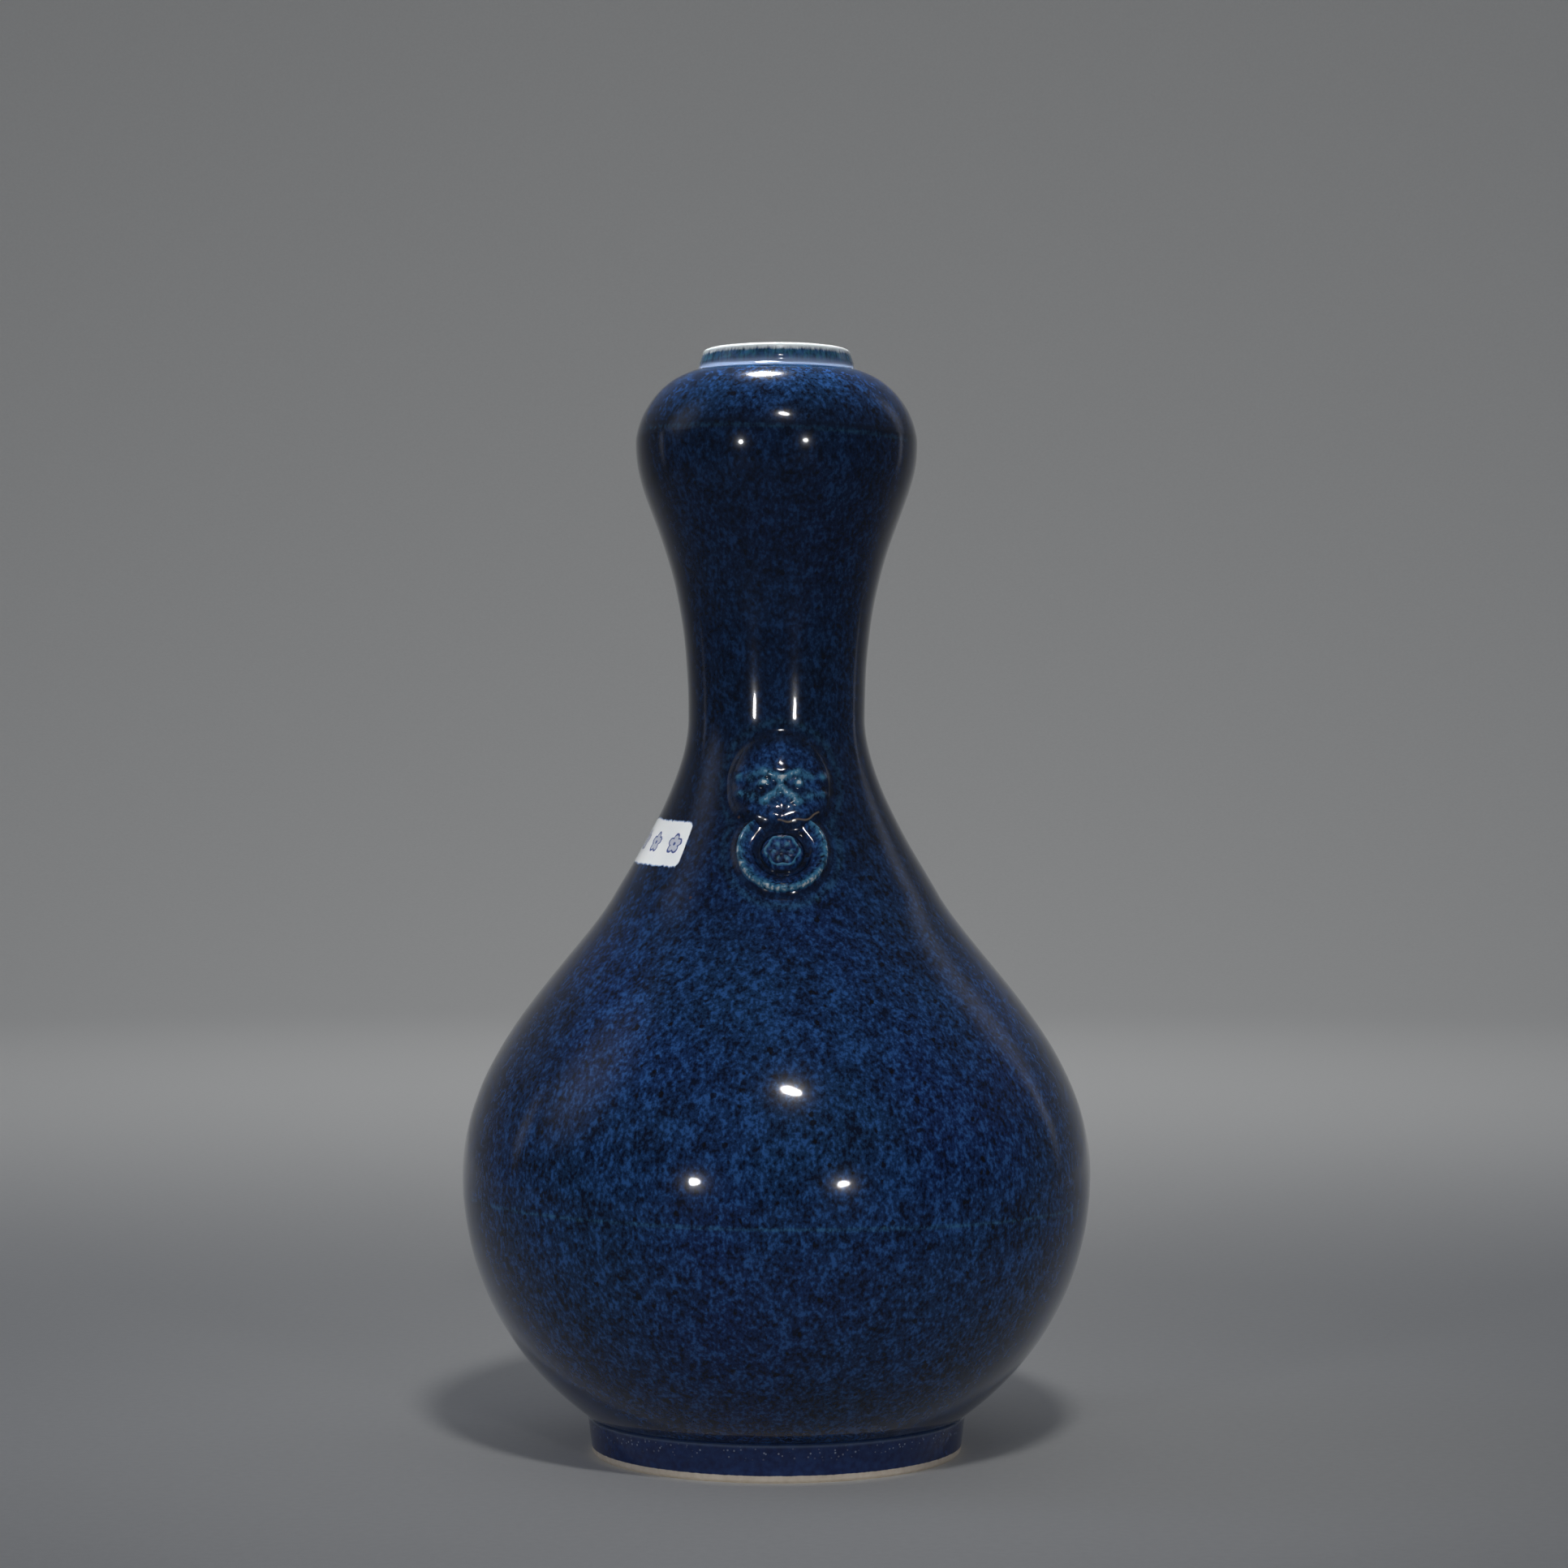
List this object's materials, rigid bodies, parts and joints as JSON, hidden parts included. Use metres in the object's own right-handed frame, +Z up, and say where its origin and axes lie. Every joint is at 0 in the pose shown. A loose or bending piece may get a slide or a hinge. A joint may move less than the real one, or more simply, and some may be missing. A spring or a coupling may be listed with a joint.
{
  "type": "garlic head vase",
  "caption": "Pear-shaped porcelain vase with a garlic-bulb head, short mouth rim and foot ring, blue sprinkled glaze, mask-and-ring reliefs and a white panel.",
  "frame": {"origin": "centre of the foot ring's resting plane", "axes": "+Z up along the vase's axis, the masks face -Y and +Y, the white panel faces -X"},
  "size_m": [0.2108, 0.2108, 0.37],
  "materials": {
    "blue_glaze": "glossy sprinkled cobalt-blue glaze on porcelain",
    "foot_glaze": "glossy violet-blue glaze with a bare buff resting edge",
    "rim_glaze": "teal-blue glaze thinning to white at the lip",
    "white_glaze": "clear glossy glaze over white slip",
    "sprig_glaze": "glossy blue glaze, pale on the high edges and dark in the hollows"
  },
  "bodies": {
    "root": {"foot_ring": "foot_glaze", "lower_body": "blue_glaze", "upper_body": "blue_glaze", "neck": "blue_glaze", "bulb_top": "blue_glaze", "mouth_rim": "rim_glaze", "mark_panel": "white_glaze", "front_mask": "sprig_glaze", "front_ring": "sprig_glaze", "front_boss": "sprig_glaze", "back_mask": "sprig_glaze", "back_ring": "sprig_glaze", "back_boss": "sprig_glaze"}
  },
  "joints": []
}
